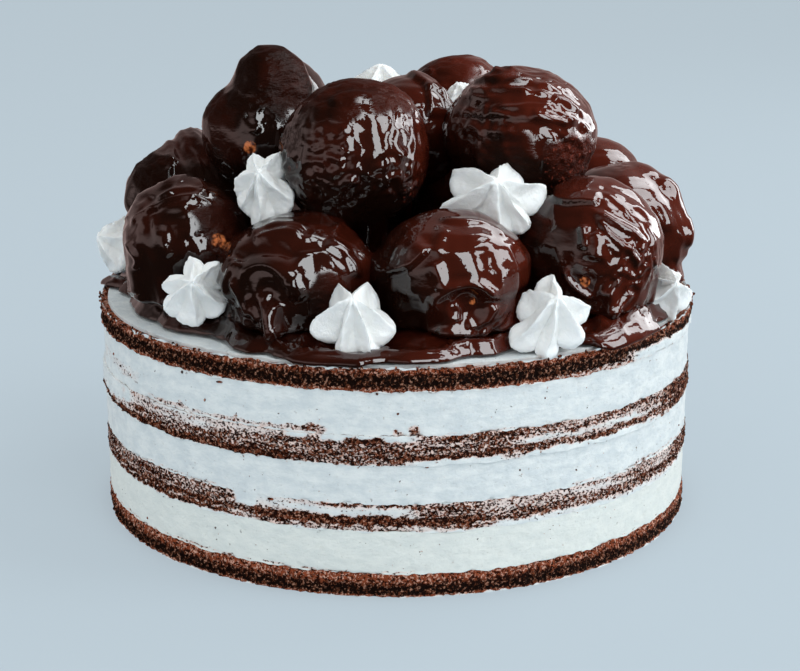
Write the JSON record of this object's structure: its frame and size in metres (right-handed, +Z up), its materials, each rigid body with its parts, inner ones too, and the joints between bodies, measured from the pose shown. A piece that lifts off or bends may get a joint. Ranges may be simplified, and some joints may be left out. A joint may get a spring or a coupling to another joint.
{
  "type": "profiterole cake",
  "caption": "Round layer cake with thinly creamed bare sides, a chocolate pool on top, and a heap of chocolate-glazed profiteroles dotted with white piped stars.",
  "frame": {"origin": "middle of the cake's flat underside", "axes": "+Z up, -Y is the side shown in the picture, +X to its right"},
  "size_m": [0.2048, 0.2023, 0.1545],
  "materials": {
    "sponge": "dark chocolate sponge, rough open crumb",
    "cream": "smoothed white cream, soft sheen",
    "chocolate": "wet glossy dark chocolate glaze",
    "meringue": "matte white piped stars"
  },
  "bodies": {
    "root": {"sponge_1": "sponge", "sponge_2": "sponge", "sponge_3": "sponge", "sponge_4": "sponge", "cream_1": "cream", "cream_2": "cream", "cream_3": "cream", "cream_4": "cream", "chocolate_pool": "chocolate", "profiterole_01": "chocolate", "profiterole_02": "chocolate", "profiterole_03": "chocolate", "profiterole_04": "chocolate", "profiterole_05": "chocolate", "profiterole_06": "chocolate", "profiterole_07": "chocolate", "profiterole_08": "chocolate", "profiterole_09": "chocolate", "profiterole_10": "chocolate", "profiterole_11": "chocolate", "profiterole_12": "chocolate", "profiterole_13": "chocolate", "profiterole_14": "chocolate", "profiterole_15": "chocolate", "profiterole_16": "chocolate", "profiterole_17": "chocolate", "profiterole_18": "chocolate", "profiterole_19": "chocolate", "star_01": "meringue", "star_02": "meringue", "star_03": "meringue", "star_04": "meringue", "star_05": "meringue", "star_06": "meringue", "star_07": "meringue", "star_08": "meringue", "star_09": "meringue", "star_10": "meringue", "star_11": "meringue", "star_12": "meringue", "star_13": "meringue", "star_14": "meringue"}
  },
  "joints": []
}
